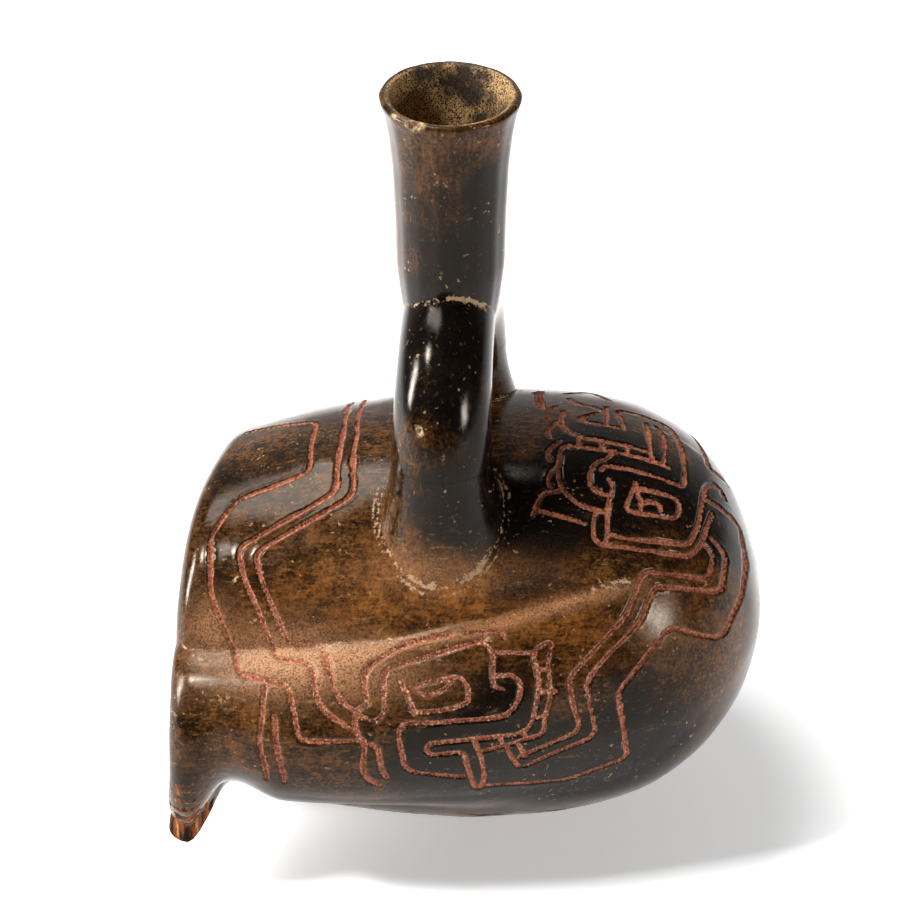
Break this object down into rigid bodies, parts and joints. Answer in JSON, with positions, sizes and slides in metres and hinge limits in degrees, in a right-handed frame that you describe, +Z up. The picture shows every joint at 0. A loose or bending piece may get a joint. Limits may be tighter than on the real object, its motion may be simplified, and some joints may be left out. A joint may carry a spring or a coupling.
{
  "type": "stirrup spout vessel",
  "caption": "Hollow dark pottery bottle with a rounded body, a side lobe, a stirrup handle and a flaring spout, incised with a banded figure motif.",
  "frame": {"origin": "on the ground, on the flat underside, straight below the spout's axis", "axes": "+Z up along the spout's axis, +X along the body towards its round dome, +Y from the lobed front to the back"},
  "size_m": [0.167, 0.1312, 0.2222],
  "materials": {
    "burnished_earthenware": "burnished dark brown and black earthenware with reddish pigment in its grooves"
  },
  "bodies": {
    "root": {"vessel": "burnished_earthenware"}
  },
  "joints": []
}
